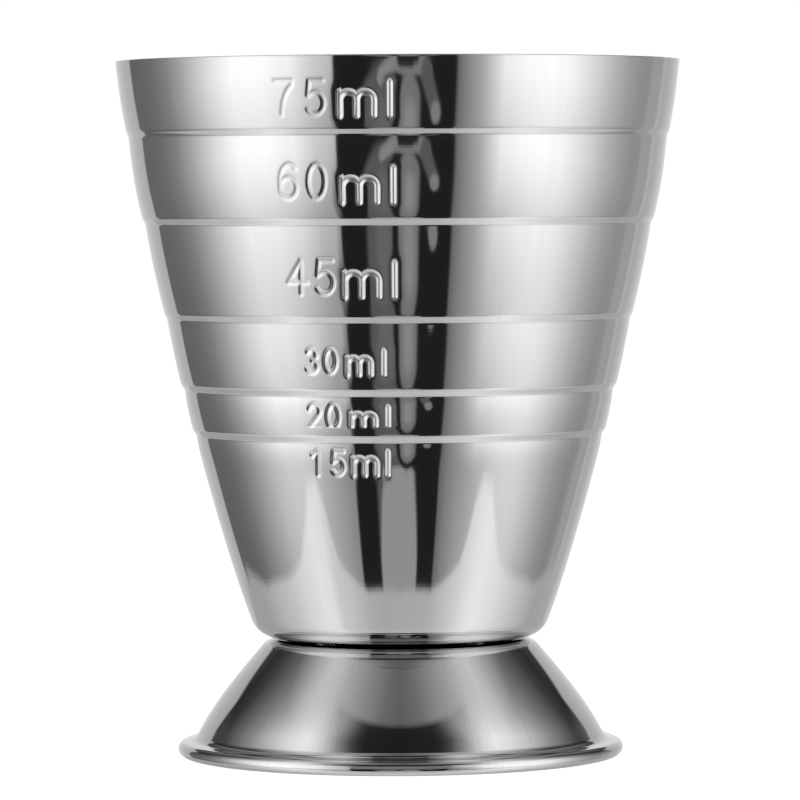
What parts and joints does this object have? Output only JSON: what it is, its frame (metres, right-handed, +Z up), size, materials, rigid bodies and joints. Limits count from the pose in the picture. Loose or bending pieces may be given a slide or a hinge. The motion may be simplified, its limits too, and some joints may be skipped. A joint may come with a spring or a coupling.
{
  "type": "bar jigger",
  "caption": "Conical stepped measuring cup in polished sheet steel on a flared round foot, with volume graduations up one side.",
  "frame": {"origin": "centre of the ring that the foot rests on, on the base plane", "axes": "+Z up along the axis of the cup; -Y points to the front, the side with the graduations"},
  "size_m": [0.0535, 0.0534, 0.066],
  "materials": {
    "cup_steel": "mirror polished stainless sheet",
    "foot_steel": "stainless sheet, lathe polished to a soft shine",
    "weld_metal": "dull resistance weld"
  },
  "bodies": {
    "root": {"measuring_cup": "cup_steel", "foot": "foot_steel", "weld_nuggets": "weld_metal"}
  },
  "joints": []
}
